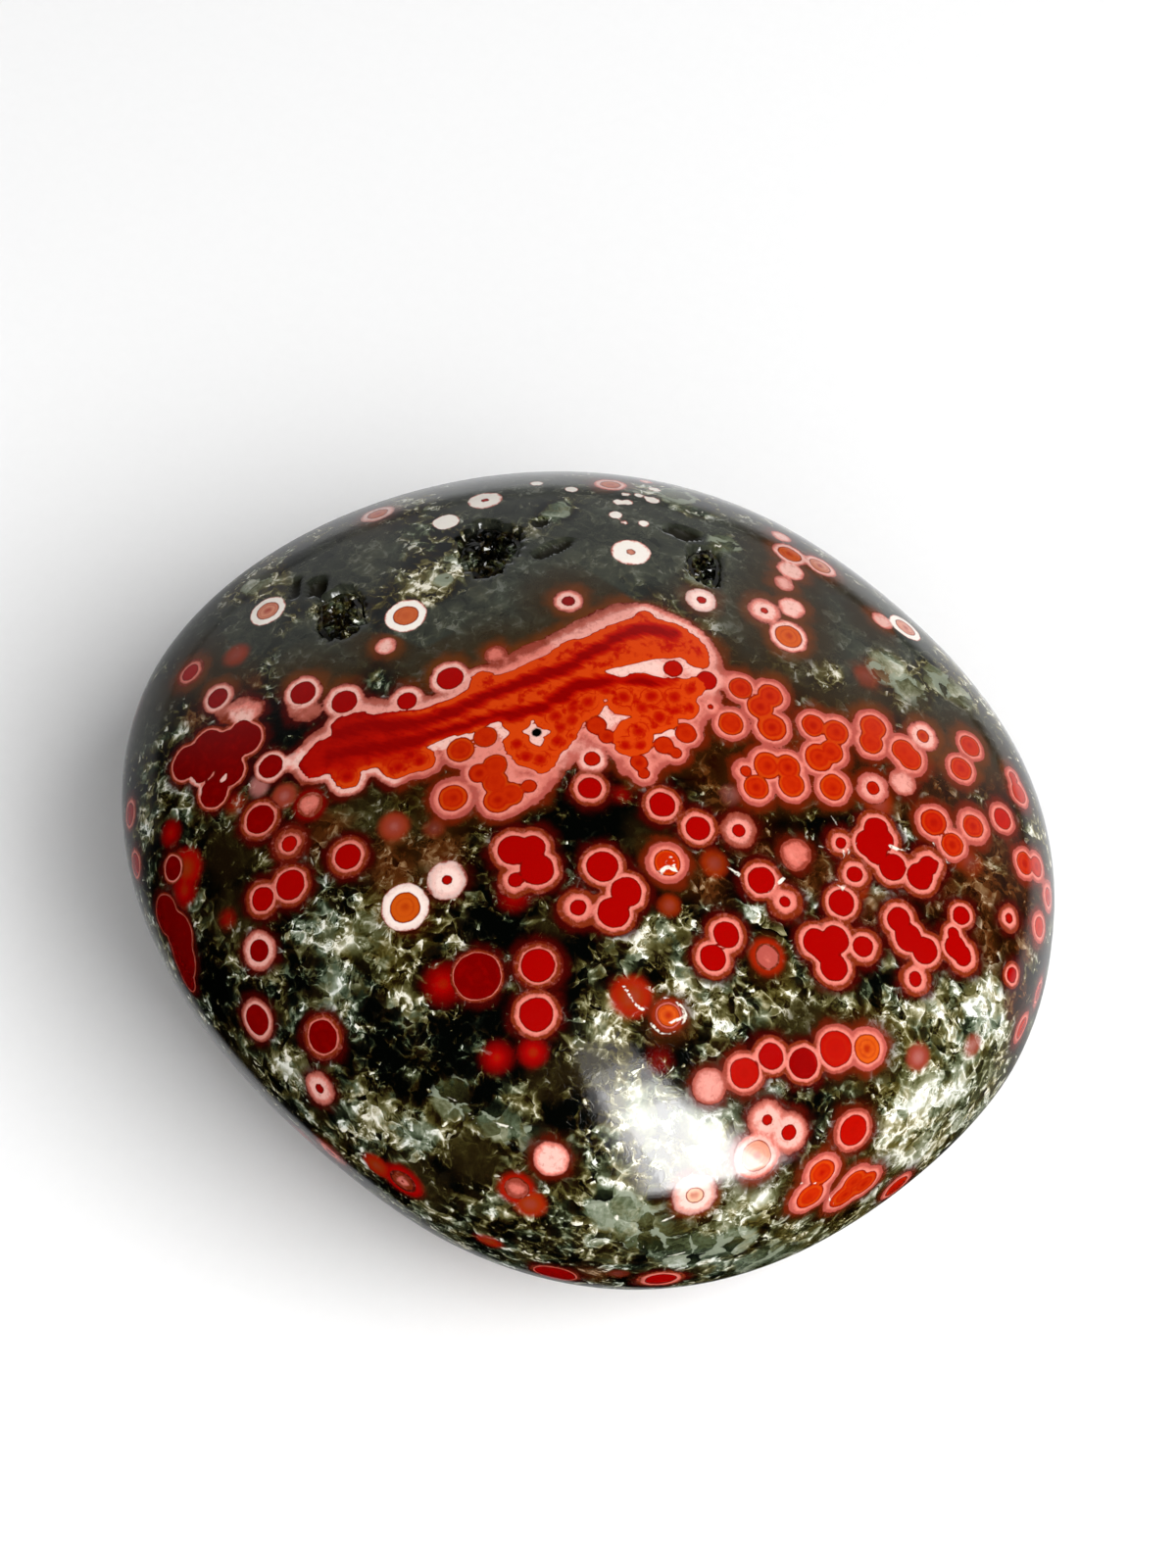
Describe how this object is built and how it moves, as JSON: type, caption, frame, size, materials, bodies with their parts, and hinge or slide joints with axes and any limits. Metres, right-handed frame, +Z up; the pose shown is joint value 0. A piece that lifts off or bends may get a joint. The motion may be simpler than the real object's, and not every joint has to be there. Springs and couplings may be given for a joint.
{
  "type": "polished ocean jasper palm stone",
  "caption": "Polished pebble of orbicular jasper, flattened and rounded, with crystal-lined pockets in its far shoulder; it lies on a small flat spot.",
  "frame": {"origin": "under the middle of the stone's box, on the flat spot that it rests on", "axes": "+X along the stone's length, towards its cut-back end; +Y across its width, towards the shoulder with the pockets; +Z up, through its thickness"},
  "size_m": [0.0714, 0.0626, 0.0356],
  "materials": {
    "polished_jasper": "polished",
    "druzy_quartz": "small glassy crystals"
  },
  "bodies": {
    "root": {"stone": "polished_jasper", "rear_druse": "druzy_quartz", "left_druse": "druzy_quartz", "right_druse": "druzy_quartz"}
  },
  "joints": []
}
